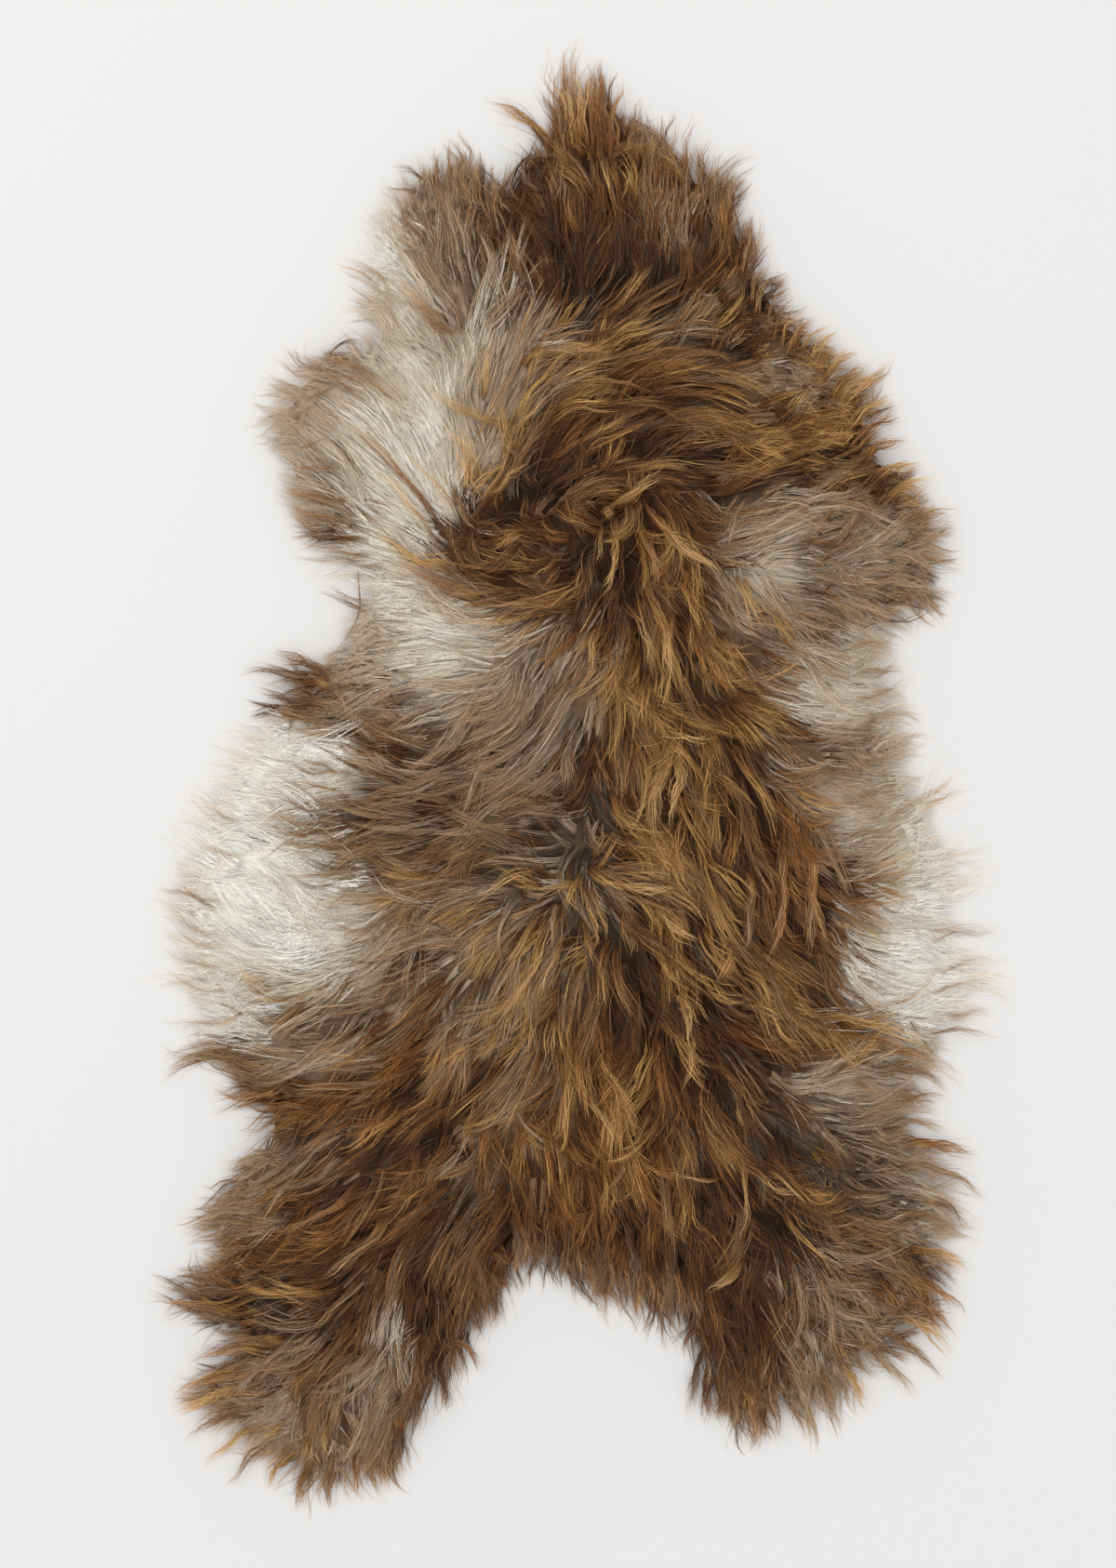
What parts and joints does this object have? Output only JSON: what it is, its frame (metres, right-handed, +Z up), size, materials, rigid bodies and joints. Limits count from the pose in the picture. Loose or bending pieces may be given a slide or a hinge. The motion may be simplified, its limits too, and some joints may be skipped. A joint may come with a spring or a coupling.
{
  "type": "sheepskin rug",
  "caption": "Long-haired sheepskin rug in its natural pelt outline, lying flat with the wool side up: a lumpy shag with pointed locks round its rim.",
  "frame": {"origin": "middle of the pelt's bounding box, on the surface that it lies on", "axes": "+Z up out of the wool, +Y from the hind legs to the neck, +X towards the pelt's right side seen from above"},
  "size_m": [0.6358, 1.1006, 0.0564],
  "materials": {
    "wool": "long soft undyed wool in browns with golden lock tips, grey-cream undercoat patches and cream flanks"
  },
  "bodies": {
    "root": {"pelt": "wool"}
  },
  "joints": []
}
